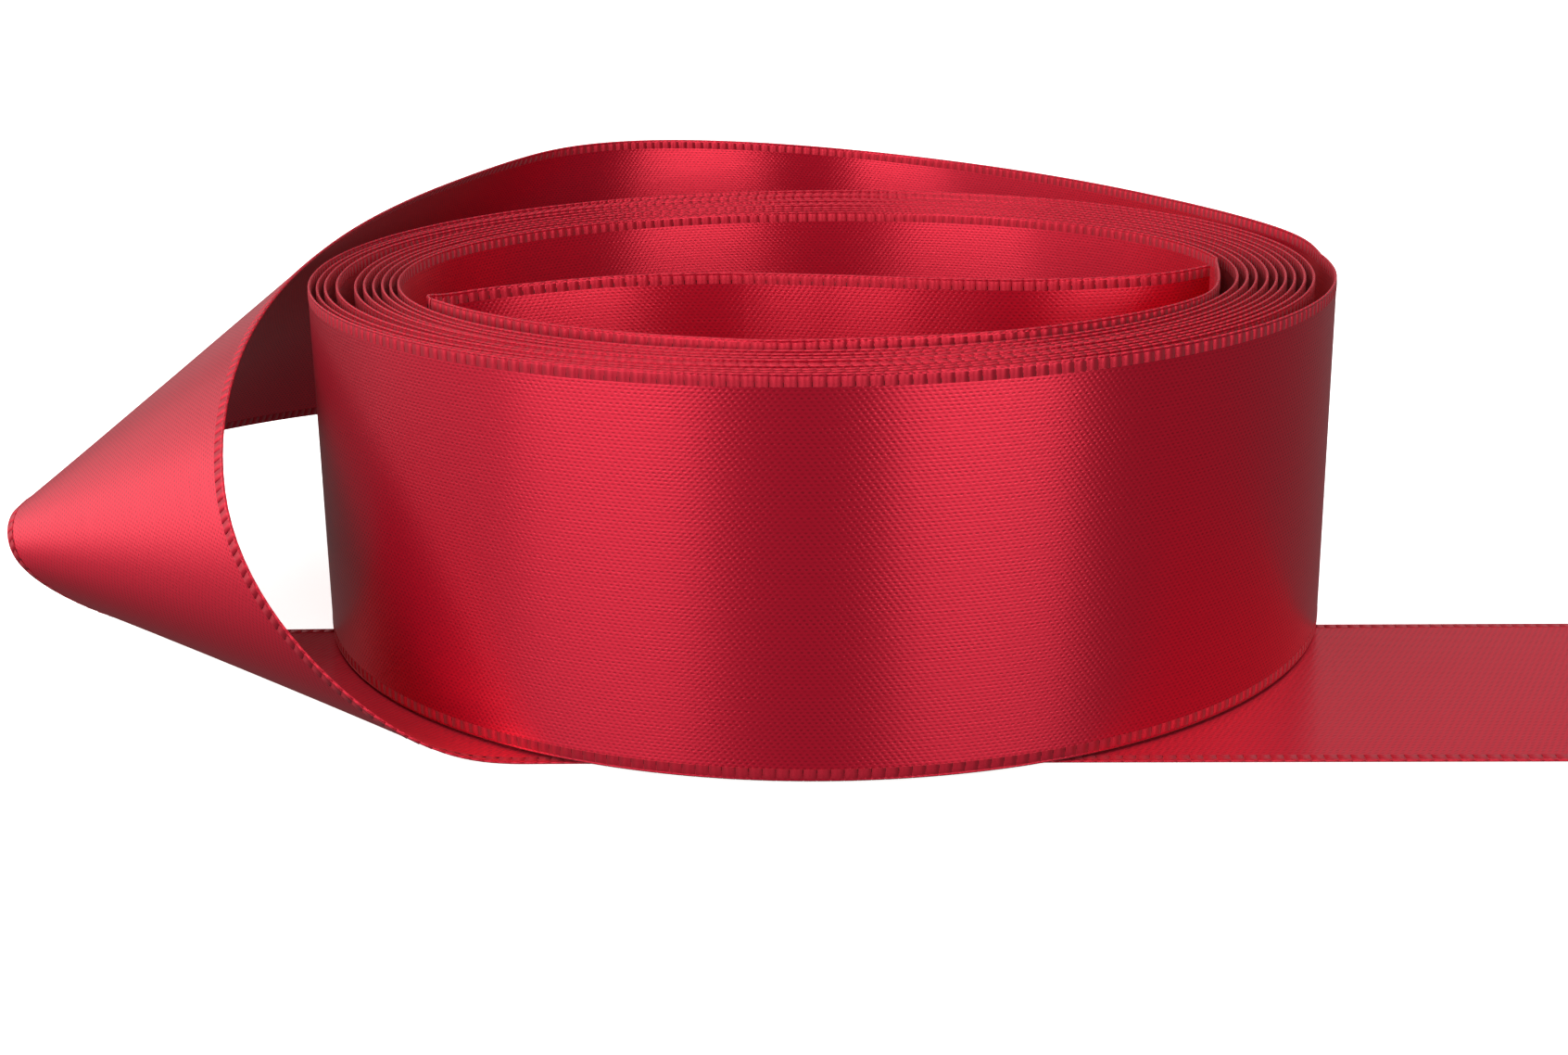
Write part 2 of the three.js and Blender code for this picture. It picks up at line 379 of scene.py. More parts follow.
for turn in range(WOUND_TURNS, 1, -1):
    first = (turn - 1) * QUARTERS_PER_TURN
    steps = 2 * CREASES_PER_QUARTER
    stretches.append(
        {
            "name": f"turn_{turn:02d}_back",
            "creases": row_of(wound_crease, first + QUARTERS_PER_TURN, first + 2, steps),
            "bodies": (turn_body(turn),),
            "nodes": [f"wound_turn_{turn:02d}"],
            "held": "laid",
        }
    )
    stretches.append(
        {
            "name": f"turn_{turn:02d}_front",
            "creases": row_of(wound_crease, first + 2, first, steps),
            "bodies": (turn_body(turn - 1), turn_body(turn)),
            "bend": (Vector((TURN_BEND, 0, HALF_HEIGHT)), Vector((-TURN_BEND, 0, HALF_HEIGHT))),
            "nodes": [f"wound_turn_{turn:02d}"],
            "held": "laid",
        }
    )
stretches.append(
    {
        "name": "outer_turn_and_loop",
        "creases": row_of(
            wound_crease, QUARTERS_PER_TURN, 0, QUARTERS_PER_TURN * CREASES_PER_QUARTER
        )
        + row_of(loop_crease, LOOP_START, FLAT_CREASE, LOOP_MARKS * CREASES_PER_MARK)[1:]
        + row_of(flat_crease, FLAT_START_X, TAIL_CUT_X, CREASES_UNDER_ROLL),
        "bodies": ("resting_ribbon",),
        "nodes": ["outer_turn", "free_loop", "turned_bight", "flat_run"],
        "held": "laid",
    }
)
stretches.append(
    {
        "name": "tail",
        "creases": row_of(flat_crease, TAIL_CUT_X, TAIL_END_X - END_GAP, CREASES_ON_TAIL),
        "bodies": ("resting_ribbon", "tail_body"),
        "bend": (TAIL_BEND_START, TAIL_BEND_END),
        "nodes": ["tail"],
        "held": "laid",
    }
)
print(len(stretches), "stretches of ribbon")

# %% [markdown]
# ## How far along the ribbon each crease is
# The weave has to lie on the ribbon as it was woven, so every crease gets its place along both
# selvedges, measured once over the whole length. On a leaning crease the two places differ,
# and that is what shears the weave the right way where the ribbon turns over.

# %% Measure both selvedges
lower_run = 0.0
upper_run = 0.0
for stretch in stretches:
    before = stretch["creases"][0]
    stretch["lower_runs"] = []
    stretch["upper_runs"] = []
    for crease in stretch["creases"]:
        lower_run += (crease[0] - before[0]).length * MM
        upper_run += (crease[1] - before[1]).length * MM
        stretch["lower_runs"].append(lower_run)
        stretch["upper_runs"].append(upper_run)
        before = crease
    stretch["length"] = (
        stretch["lower_runs"][-1]
        - stretch["lower_runs"][0]
        + stretch["upper_runs"][-1]
        - stretch["upper_runs"][0]
    ) / 2
print("ribbon is", round((lower_run + upper_run) / 2, 3), "m long")


# %% [markdown]
# ## A few words for building node trees
# Node trees drawn in the editor are handy, but a tree built by a script can be read and built
# again. These helpers keep each step to one line: one makes a tree with named inputs, one adds
# a node and plugs things into it by socket name.


# %% Helpers for node trees
def new_group(name, kind, inputs, outputs):
    """A node tree whose sockets are (name, type) or (name, type, starting value)."""
    tree = bpy.data.node_groups.new(name, kind)
    for row in inputs:
        socket = tree.interface.new_socket(row[0], in_out="INPUT", socket_type=row[1])
        if len(row) > 2:
            socket.default_value = row[2]
    for row in outputs:
        tree.interface.new_socket(row[0], in_out="OUTPUT", socket_type=row[1])
    return tree, tree.nodes.new("NodeGroupInput"), tree.nodes.new("NodeGroupOutput")


def add_node(tree, kind, plugs=None, **settings):
    """A node with its settings made. plugs maps an input's name or number to what feeds it."""
    node = tree.nodes.new(kind)
    for setting, value in settings.items():
        setattr(node, setting, value)
    for name, source in (plugs or {}).items():
        if isinstance(source, bpy.types.NodeSocket):
            tree.links.new(source, node.inputs[name])
        else:
            node.inputs[name].default_value = source
    return node


def calculate(tree, operation, *values):
    """The result of one Math node."""
    return add_node(
        tree, "ShaderNodeMath", dict(enumerate(values)), operation=operation
    ).outputs[0]


print("helpers ready")

# %% [markdown]
# ## Geometry Nodes lay the cloth on its creases
# A grid is already woven the right way: one row of points for every crease, and a few points
# across. The tree only moves each point to its place between the two selvedge points of its
# crease, which it reads from a guide mesh by number. Rows stand closer together near the
# selvedges, where the light changes fastest. Extruding the grid and closing it with its own
# flipped copy gives the cloth its thickness.

# %% Tree that lays the cloth
CLOTH_THICKNESS = 0.24 * MM
WELD_REACH = 0.01 * MM
ROWS_ACROSS = 15
RIM_ANGLE = math.radians(40)

cloth_tree, given, cloth_out = new_group(
    "lay cloth on creases",
    "GeometryNodeTree",
    [
        ("Guide", "NodeSocketGeometry"),
        ("Creases", "NodeSocketInt"),
        ("Rows Across", "NodeSocketInt"),
        ("Thickness", "NodeSocketFloat"),
        ("Finish", "NodeSocketMaterial"),
    ],
    [("Cloth", "NodeSocketGeometry")],
)
creases_in = given.outputs["Creases"]
rows_in = given.outputs["Rows Across"]
grid = add_node(
    cloth_tree,
    "GeometryNodeMeshGrid",
    {"Size X": 1.0, "Size Y": 1.0, "Vertices X": creases_in, "Vertices Y": rows_in},
)
point_number = add_node(cloth_tree, "GeometryNodeInputIndex").outputs[0]
crease_number = add_node(
    cloth_tree,
    "FunctionNodeIntegerMath",
    {0: point_number, 1: rows_in},
    operation="DIVIDE_FLOOR",
).outputs[0]
row_number = add_node(
    cloth_tree, "FunctionNodeIntegerMath", {0: point_number, 1: rows_in}, operation="MODULO"
).outputs[0]
upper_number = add_node(
    cloth_tree, "FunctionNodeIntegerMath", {0: crease_number, 1: creases_in}, operation="ADD"
).outputs[0]
half_circle = calculate(
    cloth_tree,
    "DIVIDE",
    calculate(cloth_tree, "MULTIPLY", row_number, math.pi),
    calculate(cloth_tree, "SUBTRACT", rows_in, 1.0),
)
across_share = calculate(
    cloth_tree,
    "MULTIPLY_ADD",
    calculate(cloth_tree, "COSINE", half_circle),
    -0.5,
    0.5,
)


def read_guide(value, number, data_type):
    """What the guide mesh says at the point with this number."""
    return add_node(
        cloth_tree,
        "GeometryNodeSampleIndex",
        {"Geometry": given.outputs["Guide"], "Value": value, "Index": number},
        data_type=data_type,
        domain="POINT",
    ).outputs[0]


def from_lower_to_upper(value, data_type):
    """A value part of the way from the lower to the upper end of this point's crease."""
    mixed = add_node(
        cloth_tree,
        "ShaderNodeMix",
        {"Factor": across_share},
        data_type="VECTOR" if data_type == "FLOAT_VECTOR" else "FLOAT",
    )
    ends = [socket for socket in mixed.inputs if socket.enabled and socket.name in "AB"]
    cloth_tree.links.new(read_guide(value, crease_number, data_type), ends[0])
    cloth_tree.links.new(read_guide(value, upper_number, data_type), ends[1])
    return next(socket for socket in mixed.outputs if socket.enabled)


place = add_node(cloth_tree, "GeometryNodeInputPosition").outputs[0]
run = add_node(cloth_tree, "GeometryNodeInputNamedAttribute", {"Name": "run"}).outputs[0]
facing = add_node(
    cloth_tree,
    "GeometryNodeInputNamedAttribute",
    {"Name": "facing"},
    data_type="FLOAT_VECTOR",
).outputs[0]
half_back = calculate(cloth_tree, "MULTIPLY", given.outputs["Thickness"], -0.5)
sunk = add_node(
    cloth_tree,
    "ShaderNodeVectorMath",
    {0: read_guide(facing, crease_number, "FLOAT_VECTOR"), "Scale": half_back},
    operation="SCALE",
).outputs[0]
marked = add_node(
    cloth_tree,
    "GeometryNodeStoreNamedAttribute",
    {
        "Geometry": grid.outputs["Mesh"],
        "Name": "along",
        "Value": from_lower_to_upper(run, "FLOAT"),
    },
)
marked = add_node(
    cloth_tree,
    "GeometryNodeStoreNamedAttribute",
    {
        "Geometry": marked.outputs[0],
        "Name": "across",
        "Value": calculate(cloth_tree, "MULTIPLY", across_share, RIBBON_WIDTH * MM),
    },
)
placed = add_node(
    cloth_tree,
    "GeometryNodeSetPosition",
    {
        "Geometry": marked.outputs[0],
        "Position": from_lower_to_upper(place, "FLOAT_VECTOR"),
        "Offset": sunk,
    },
)
weave_place = add_node(
    cloth_tree,
    "ShaderNodeCombineXYZ",
    {
        "X": add_node(
            cloth_tree, "GeometryNodeInputNamedAttribute", {"Name": "along"}
        ).outputs[0],
        "Y": add_node(
            cloth_tree, "GeometryNodeInputNamedAttribute", {"Name": "across"}
        ).outputs[0],
    },
)
mapped = add_node(
    cloth_tree,
    "GeometryNodeStoreNamedAttribute",
    {"Geometry": placed.outputs[0], "Name": "weave"},
    data_type="FLOAT2",
    domain="CORNER",
)
cloth_tree.links.new(
    weave_place.outputs[0],
    next(socket for socket in mapped.inputs if socket.enabled and socket.name == "Value"),
)
raised = add_node(
    cloth_tree,
    "GeometryNodeExtrudeMesh",
    {
        "Mesh": mapped.outputs[0],
        "Offset Scale": given.outputs["Thickness"],
        "Individual": False,
    },
)
flipped = add_node(cloth_tree, "GeometryNodeFlipFaces", {"Mesh": mapped.outputs[0]})
both = add_node(cloth_tree, "GeometryNodeJoinGeometry", {"Geometry": raised.outputs["Mesh"]})
cloth_tree.links.new(flipped.outputs[0], both.inputs[0])
closed = add_node(
    cloth_tree,
    "GeometryNodeMergeByDistance",
    {"Geometry": both.outputs[0], "Distance": WELD_REACH},
)
smooth = add_node(cloth_tree, "GeometryNodeSetShadeSmooth", {"Geometry": closed.outputs[0]})
bend_at_edge = add_node(cloth_tree, "GeometryNodeInputMeshEdgeAngle").outputs[0]
is_rim = add_node(
    cloth_tree,
    "FunctionNodeCompare",
    {0: bend_at_edge, 1: RIM_ANGLE},
    data_type="FLOAT",
    operation="GREATER_THAN",
).outputs[0]
rimmed = add_node(
    cloth_tree,
    "GeometryNodeSetShadeSmooth",
    {"Geometry": smooth.outputs[0], "Selection": is_rim, "Shade Smooth": False},
    domain="EDGE",
)
finished = add_node(
    cloth_tree,
    "GeometryNodeSetMaterial",
    {
        "Geometry": add_node(
            cloth_tree, "GeometryNodeRealizeInstances", {"Geometry": rimmed.outputs[0]}
        ).outputs[0],
        "Material": given.outputs["Finish"],
    },
)
cloth_tree.links.new(finished.outputs[0], cloth_out.inputs[0])
print("cloth tree has", len(cloth_tree.nodes), "nodes")

# %% [markdown]
# ## Geometry Nodes stitch the selvedges
# Along both edges of a woven satin ribbon the weft turns round and goes back in, held by one
# catch thread. It shows as a row of tiny bars over the edge, one every 1.25 mm, with a small
# dark hole between each two. The tree walks along each selvedge line in even steps, sets a
# flat U-shaped thread astride the edge at each step, and runs the catch thread along the top.

# %% Tree that stitches a selvedge
STITCH_PITCH = 1.25 * MM
STITCH_DEPTH = 1.12 * MM
STITCH_RISE = 0.10 * MM
STITCH_WIDTH = 1.2 * MM
FOOT_SHARE = 0.3
FOOT_LIFT = 1.05
BELLY_LIFT = 1.2
THREAD_THICKNESS = 0.05 * MM
CATCH_RADIUS = 0.08 * MM

stitch_tree, asked, stitch_out = new_group(
    "stitch a selvedge",
    "GeometryNodeTree",
    [
        ("Edges", "NodeSocketGeometry"),
        ("Pitch", "NodeSocketFloat"),
        ("Depth", "NodeSocketFloat"),
        ("Rise", "NodeSocketFloat"),
        ("Width", "NodeSocketFloat"),
        ("Foot Share", "NodeSocketFloat"),
        ("Thread", "NodeSocketFloat"),
        ("Cloth", "NodeSocketFloat"),
        ("Catch Radius", "NodeSocketFloat"),
        ("Finish", "NodeSocketMaterial"),
    ],
    [("Stitches", "NodeSocketGeometry")],
)
edge_curve = add_node(
    stitch_tree, "GeometryNodeMeshToCurve", {"Mesh": asked.outputs["Edges"]}
).outputs[0]
half_pitch = calculate(stitch_tree, "MULTIPLY", asked.outputs["Pitch"], 0.5)
edge_length = add_node(stitch_tree, "GeometryNodeSplineLength").outputs["Length"]
trimmed = add_node(
    stitch_tree, "GeometryNodeTrimCurve", {"Curve": edge_curve}, mode="LENGTH"
)
trim_ends = [socket for socket in trimmed.inputs if socket.enabled and socket.type == "VALUE"]
stitch_tree.links.new(half_pitch, trim_ends[0])
stitch_tree.links.new(
    calculate(stitch_tree, "SUBTRACT", edge_length, half_pitch), trim_ends[1]
)
stepped = add_node(
    stitch_tree,
    "GeometryNodeResampleCurve",
    {"Curve": trimmed.outputs[0], "Length": asked.outputs["Pitch"]},
    mode="LENGTH",
)
cloth_side = calculate(stitch_tree, "MULTIPLY", asked.outputs["Cloth"], 0.5)
foot_side = calculate(stitch_tree, "MULTIPLY", cloth_side, FOOT_LIFT)
belly_side = calculate(
    stitch_tree,
    "ADD",
    cloth_side,
    calculate(stitch_tree, "MULTIPLY", asked.outputs["Thread"], BELLY_LIFT),
)
foot_depth = calculate(stitch_tree, "MULTIPLY", asked.outputs["Depth"], -1.0)
pull_height = calculate(
    stitch_tree,
    "DIVIDE",
    calculate(
        stitch_tree,
        "MULTIPLY_ADD",
        asked.outputs["Rise"],
        4.0,
        asked.outputs["Depth"],
    ),
    3.0,
)


def u_corner(side, height, sign):
    """One of the four points that shape the U, in the plane across the edge."""
    return add_node(
        stitch_tree,
        "ShaderNodeCombineXYZ",
        {"Y": calculate(stitch_tree, "MULTIPLY", side, sign), "Z": height},
    ).outputs[0]


thread_path = add_node(
    stitch_tree,
    "GeometryNodeCurvePrimitiveBezierSegment",
    {
        "Resolution": 8,
        "Start": u_corner(foot_side, foot_depth, -1.0),
        "Start Handle": u_corner(belly_side, pull_height, -1.0),
        "End Handle": u_corner(belly_side, pull_height, 1.0),
        "End": u_corner(foot_side, foot_depth, 1.0),
    },
)
from_top = calculate(
    stitch_tree,
    "ABSOLUTE",
    calculate(
        stitch_tree,
        "MULTIPLY_ADD",
        add_node(stitch_tree, "GeometryNodeSplineParameter").outputs["Factor"],
        2.0,
        -1.0,
    ),
)
tapered = add_node(
    stitch_tree,
    "GeometryNodeSetCurveRadius",
    {
        "Curve": thread_path.outputs[0],
        "Radius": calculate(
            stitch_tree,
            "SUBTRACT",
            1.0,
            calculate(
                stitch_tree,
                "MULTIPLY",
                calculate(stitch_tree, "POWER", from_top, 3.0),
                calculate(stitch_tree, "SUBTRACT", 1.0, asked.outputs["Foot Share"]),
            ),
        ),
    },
)
thread_section = add_node(
    stitch_tree,
    "GeometryNodeCurvePrimitiveQuadrilateral",
    {"Width": asked.outputs["Width"], "Height": asked.outputs["Thread"]},
)
one_stitch = add_node(
    stitch_tree,
    "GeometryNodeCurveToMesh",
    {
        "Curve": tapered.outputs[0],
        "Profile Curve": thread_section.outputs[0],
        "Fill Caps": True,
    },
)
outward = add_node(
    stitch_tree,
    "GeometryNodeInputNamedAttribute",
    {"Name": "outward"},
    data_type="FLOAT_VECTOR",
).outputs[0]
turned = add_node(
    stitch_tree,
    "FunctionNodeAxesToRotation",
    {0: add_node(stitch_tree, "GeometryNodeInputTangent").outputs[0], 1: outward},
    primary_axis="X",
    secondary_axis="Z",
)
stitches = add_node(
    stitch_tree,
    "GeometryNodeInstanceOnPoints",
    {
        "Points": stepped.outputs[0],
        "Instance": one_stitch.outputs[0],
        "Rotation": turned.outputs[0],
    },
)
catch_section = add_node(
    stitch_tree,
    "GeometryNodeCurvePrimitiveCircle",
    {"Resolution": 6, "Radius": asked.outputs["Catch Radius"]},
)
catch_thread = add_node(
    stitch_tree,
    "GeometryNodeCurveToMesh",
    {
        "Curve": edge_curve,
        "Profile Curve": catch_section.outputs[0],
        "Fill Caps": True,
    },
)
joined = add_node(
    stitch_tree, "GeometryNodeJoinGeometry", {"Geometry": stitches.outputs[0]}
)
stitch_tree.links.new(catch_thread.outputs[0], joined.inputs[0])
rounded = add_node(
    stitch_tree,
    "GeometryNodeSetShadeSmooth",
    {
        "Geometry": add_node(
            stitch_tree, "GeometryNodeRealizeInstances", {"Geometry": joined.outputs[0]}
        ).outputs[0]
    },
)
sewn = add_node(
    stitch_tree,
    "GeometryNodeSetMaterial",
    {"Geometry": rounded.outputs[0], "Material": asked.outputs["Finish"]},
)
stitch_tree.links.new(sewn.outputs[0], stitch_out.inputs[0])
print("stitch tree has", len(stitch_tree.nodes), "nodes")

# %% [markdown]
# ## The satin weave
# In a five-shaft satin each long float passes over four threads and dips under the fifth, and
# the dips step sideways from row to row, so that they never line up. The group below gives
# that pattern from the ribbon's own length and width: a height for the bump, and a shade for
# the colour, because less light comes back out of the dips. A slow, stretched noise adds the
# uneven pull of single threads.

# %% Node group for the weave
FLOAT_LENGTH = 0.62 * MM
FLOAT_PITCH = 0.34 * MM
SATIN_STEP = 0.4
DIP_FLOOR = 0.12
DIP_RIM = 0.42
PULL_STRETCH = (150.0, 2600.0, 0.0)
PULL_ON_DIPS = 2.5
PULL_ON_HEIGHT = 0.6

weave_group, weave_in, weave_out = new_group(
    "satin weave",
    "ShaderNodeTree",
    [
        ("Place", "NodeSocketVector"),
        ("Float Length", "NodeSocketFloat", FLOAT_LENGTH),
        ("Float Pitch", "NodeSocketFloat", FLOAT_PITCH),
        ("Dip Depth", "NodeSocketFloat", 0.3),
        ("Uneven Pull", "NodeSocketFloat", 0.12),
    ],
    [("Shade", "NodeSocketFloat"), ("Height", "NodeSocketFloat")],
)
split = add_node(weave_group, "ShaderNodeSeparateXYZ", {0: weave_in.outputs["Place"]})
row_count = calculate(
    weave_group, "DIVIDE", split.outputs["Y"], weave_in.outputs["Float Pitch"]
)
row_index = calculate(weave_group, "FLOOR", row_count)
float_count = calculate(
    weave_group,
    "ADD",
    calculate(weave_group, "DIVIDE", split.outputs["X"], weave_in.outputs["Float Length"]),
    calculate(weave_group, "MULTIPLY", row_index, SATIN_STEP),
)


def from_middle(count):
    """Distance from the middle of its cell, from nought to a half."""
    inside = calculate(weave_group, "FRACT", count)
    return calculate(weave_group, "ABSOLUTE", calculate(weave_group, "SUBTRACT", inside, 0.5))


dip_reach = calculate(
    weave_group,
    "SQRT",
    calculate(
        weave_group,
        "ADD",
        calculate(weave_group, "POWER", from_middle(float_count), 2.0),
        calculate(weave_group, "POWER", from_middle(row_count), 2.0),
    ),
)
even_dip = add_node(
    weave_group,
    "ShaderNodeMapRange",
    {
        "Value": dip_reach,
        "From Min": DIP_FLOOR,
        "From Max": DIP_RIM,
        "To Min": 1.0,
        "To Max": 0.0,
    },
    interpolation_type="SMOOTHSTEP",
).outputs[0]
stretched = add_node(
    weave_group,
    "ShaderNodeVectorMath",
    {0: weave_in.outputs["Place"], 1: PULL_STRETCH},
    operation="MULTIPLY",
).outputs[0]
pull = add_node(
    weave_group, "ShaderNodeTexNoise", {"Vector": stretched, "Scale": 1.0, "Detail": 2.0}
).outputs["Fac"]
pull_from_middle = calculate(weave_group, "SUBTRACT", pull, 0.5)
dip = calculate(
    weave_group,
    "MULTIPLY",
    even_dip,
    calculate(weave_group, "MULTIPLY_ADD", pull_from_middle, PULL_ON_DIPS, 1.0),
)
weave_height = calculate(
    weave_group,
    "SUBTRACT",
    calculate(weave_group, "MULTIPLY_ADD", pull_from_middle, PULL_ON_HEIGHT, 1.0),
    dip,
)
weave_shade = calculate(
    weave_group,
    "SUBTRACT",
    calculate(
        weave_group, "MULTIPLY_ADD", pull_from_middle, weave_in.outputs["Uneven Pull"], 1.0
    ),
    calculate(weave_group, "MULTIPLY", dip, weave_in.outputs["Dip Depth"]),
)
weave_group.links.new(weave_shade, weave_out.inputs["Shade"])
weave_group.links.new(weave_height, weave_out.inputs["Height"])
print("weave group has", len(weave_group.nodes), "nodes")

# %% [markdown]
# The selvedge needs its own mask. About a millimetre in, where the stitches have their feet,
# the weft pulls the cloth apart, and between each two feet one looks into a small hole in
# shade.
# The mask paints that shade as a narrow dark line under all the feet. The stitches themselves
# cover most of it.

# %% Node group for the painted shade of the row of holes
HOLE_DEPTH = 0.9 * MM
HOLE_REACH = 0.26 * MM
HOLE_CORE = 0.6

hole_shade_group, hole_in, hole_out = new_group(
    "selvedge hole shade",
    "ShaderNodeTree",
    [
        ("Place", "NodeSocketVector"),
        ("Ribbon Width", "NodeSocketFloat", RIBBON_WIDTH * MM),
        ("Hole Depth", "NodeSocketFloat", HOLE_DEPTH),
        ("Hole Reach", "NodeSocketFloat", HOLE_REACH),
    ],
    [("Hole", "NodeSocketFloat")],
)
across = add_node(
    hole_shade_group, "ShaderNodeSeparateXYZ", {0: hole_in.outputs["Place"]}
).outputs["Y"]
from_edge = calculate(
    hole_shade_group,
    "MINIMUM",
    across,
    calculate(hole_shade_group, "SUBTRACT", hole_in.outputs["Ribbon Width"], across),
)
from_hole = calculate(
    hole_shade_group,
    "ABSOLUTE",
    calculate(hole_shade_group, "SUBTRACT", from_edge, hole_in.outputs["Hole Depth"]),
)
# The mask marks painted shade: one on the dark line of the holes, nought elsewhere.
hole_shade_mask = add_node(
    hole_shade_group,
    "ShaderNodeMapRange",
    {
        "Value": from_hole,
        "From Min": calculate(
            hole_shade_group, "MULTIPLY", hole_in.outputs["Hole Reach"], HOLE_CORE
        ),
        "From Max": hole_in.outputs["Hole Reach"],
        "To Min": 1.0,
        "To Max": 0.0,
    },
    interpolation_type="SMOOTHSTEP",
).outputs[0]
hole_shade_group.links.new(hole_shade_mask, hole_out.inputs["Hole"])
print("hole group has", len(hole_shade_group.nodes), "nodes")


# %% [markdown]
# ## The satin itself
# Satin shines because its floats all run one way. Light that strikes a bundle of fine threads
# spreads out across them and hardly at all along them, so a softbox shows on the roll as an
# upright band. That is anisotropy: the tangent follows the floats, and a quarter turn of the
# anisotropic rotation lays the long way of the highlight across them. The gloss is tinted like
# the dye, because most of the light has been inside the yarn first. A part-metallic surface
# gives that tint, and a little sheen whitens the cloth where it is seen edge on.


# %% Satin finish
def linear(red, green, blue):
    """A colour given as 0 to 255 screen values, as the renderer counts light."""
    return tuple(
        (value / 255 / 12.92) if value < 10.3 else ((value / 255 + 0.055) / 1.055) ** 2.4
        for value in (red, green, blue)
    ) + (1.0,)


SATIN_RED = linear(222, 20, 54)
# The dark red below is painted shade, the dark seen inside the selvedge holes.
HOLE_SHADE_RED = linear(70, 2, 8)
WEAVE_BUMP = 0.05 * MM

satin = bpy.data.materials.new("crimson satin")
satin.use_nodes = True
tree = satin.node_tree
shader = tree.nodes["Principled BSDF"]
place_on_ribbon = add_node(tree, "ShaderNodeUVMap", uv_map="weave").outputs[0]
weave = add_node(tree, "ShaderNodeGroup", node_tree=weave_group)
tree.links.new(place_on_ribbon, weave.inputs["Place"])
holes = add_node(tree, "ShaderNodeGroup", node_tree=hole_shade_group)
tree.links.new(place_on_ribbon, holes.inputs["Place"])
# Base colour: the dye, mixed with painted shade along the hole line, then darkened by the
# weave's painted shade in the dips.
dye_and_hole_shade = add_node(tree, "ShaderNodeMix", data_type="RGBA")
dye_and_hole_shade.inputs[6].default_value = SATIN_RED
dye_and_hole_shade.inputs[7].default_value = HOLE_SHADE_RED
tree.links.new(holes.outputs["Hole"], dye_and_hole_shade.inputs["Factor"])
shaded = add_node(
    tree,
    "ShaderNodeVectorMath",
    {0: dye_and_hole_shade.outputs[2], "Scale": weave.outputs["Shade"]},
    operation="SCALE",
)
tree.links.new(shaded.outputs[0], shader.inputs["Base Color"])
bump = add_node(
    tree,
    "ShaderNodeBump",
    {"Strength": 0.25, "Distance": WEAVE_BUMP, "Height": weave.outputs["Height"]},
)
tree.links.new(bump.outputs[0], shader.inputs["Normal"])
float_direction = add_node(
    tree, "ShaderNodeTangent", direction_type="UV_MAP", uv_map="weave"
)
tree.links.new(float_direction.outputs[0], shader.inputs["Tangent"])
shader.inputs["Metallic"].default_value = 0.68
shader.inputs["Specular IOR Level"].default_value = 1.0
shader.inputs["Roughness"].default_value = 0.33
shader.inputs["Anisotropic"].default_value = 0.85
shader.inputs["Anisotropic Rotation"].default_value = 0.25
shader.inputs["Sheen Weight"].default_value = 0.02
shader.inputs["Sheen Roughness"].default_value = 0.4
print("satin made of", len(tree.nodes), "nodes")

# %% [markdown]
# The stitches are made of the same yarn, but twisted, so they shine less and show a fine
# wandering twist instead of the weave.

# %% Selvedge thread finish
THREAD_RED = linear(196, 26, 50)
FIBRE_SCALE = 9000.0
FIBRE_BUMP = 0.03 * MM

thread = bpy.data.materials.new("selvedge thread")
thread.use_nodes = True
tree = thread.node_tree
thread_shader = tree.nodes["Principled BSDF"]
spot = add_node(tree, "ShaderNodeTexCoord").outputs["Object"]
fibres = add_node(
    tree, "ShaderNodeTexNoise", {"Vector": spot, "Scale": FIBRE_SCALE, "Detail": 2.0}
)
fibre_shade = add_node(
    tree,
    "ShaderNodeMapRange",
    {"Value": fibres.outputs["Fac"], "To Min": 0.75, "To Max": 1.2},
).outputs[0]
fibre_colour = add_node(
    tree,
    "ShaderNodeVectorMath",
    {0: THREAD_RED[:3], "Scale": fibre_shade},
    operation="SCALE",
)
tree.links.new(fibre_colour.outputs[0], thread_shader.inputs["Base Color"])
fibre_bump = add_node(
    tree,
    "ShaderNodeBump",
    {"Strength": 0.4, "Distance": FIBRE_BUMP, "Height": fibres.outputs["Fac"]},
)
tree.links.new(fibre_bump.outputs[0], thread_shader.inputs["Normal"])
thread_shader.inputs["Roughness"].default_value = 0.5
thread_shader.inputs["Metallic"].default_value = 0.6
thread_shader.inputs["Sheen Weight"].default_value = 0.05
print("thread made of", len(tree.nodes), "nodes")


# %% [markdown]
# ## Make every stretch
# The guide mesh holds the selvedge points of all creases, lower row first, each with its place
# along the ribbon and the way the cloth faces there. A Geometry Nodes modifier turns the guide
# into cloth. `new_from_object` then keeps the result as a plain mesh, and the guide goes.


# %% Helpers that run a tree on a guide
def guide_mesh(name, points, edges, attributes):
    """A mesh of bare points, with what a tree needs to know stored on each of them."""
    mesh = bpy.data.meshes.new(name)
    mesh.from_pydata([tuple(point) for point in points], edges, [])
    for label, (kind, values) in attributes.items():
        attribute = mesh.attributes.new(label, kind, "POINT")
        if kind == "FLOAT_VECTOR":
            attribute.data.foreach_set("vector", [part for value in values for part in value])
        else:
            attribute.data.foreach_set("value", values)
    return mesh


def grown(name, mesh, tree, values):
    """The plain mesh object that a geometry tree makes out of a guide mesh."""
    guide = bpy.data.objects.new(name + "_guide", mesh)
    bpy.context.scene.collection.objects.link(guide)
    modifier = guide.modifiers.new("grow", "NODES")
    modifier.node_group = tree
    for item in tree.interface.items_tree:
        if item.item_type == "SOCKET" and item.in_out == "INPUT" and item.name in values:
            modifier[item.identifier] = values[item.name]
    graph = bpy.context.evaluated_depsgraph_get()
    made = bpy.data.meshes.new_from_object(
        guide.evaluated_get(graph), preserve_all_data_layers=True, depsgraph=graph
    )
    made.name = name
    bpy.data.objects.remove(guide)
    bpy.data.meshes.remove(mesh)
    made_object = bpy.data.objects.new(name, made)
    bpy.context.scene.collection.objects.link(made_object)
    return made_object


def in_place(point):
    """A point of the route, in metres, where the roll stands."""
    return ROLL_MIDDLE + Vector(point) * MM


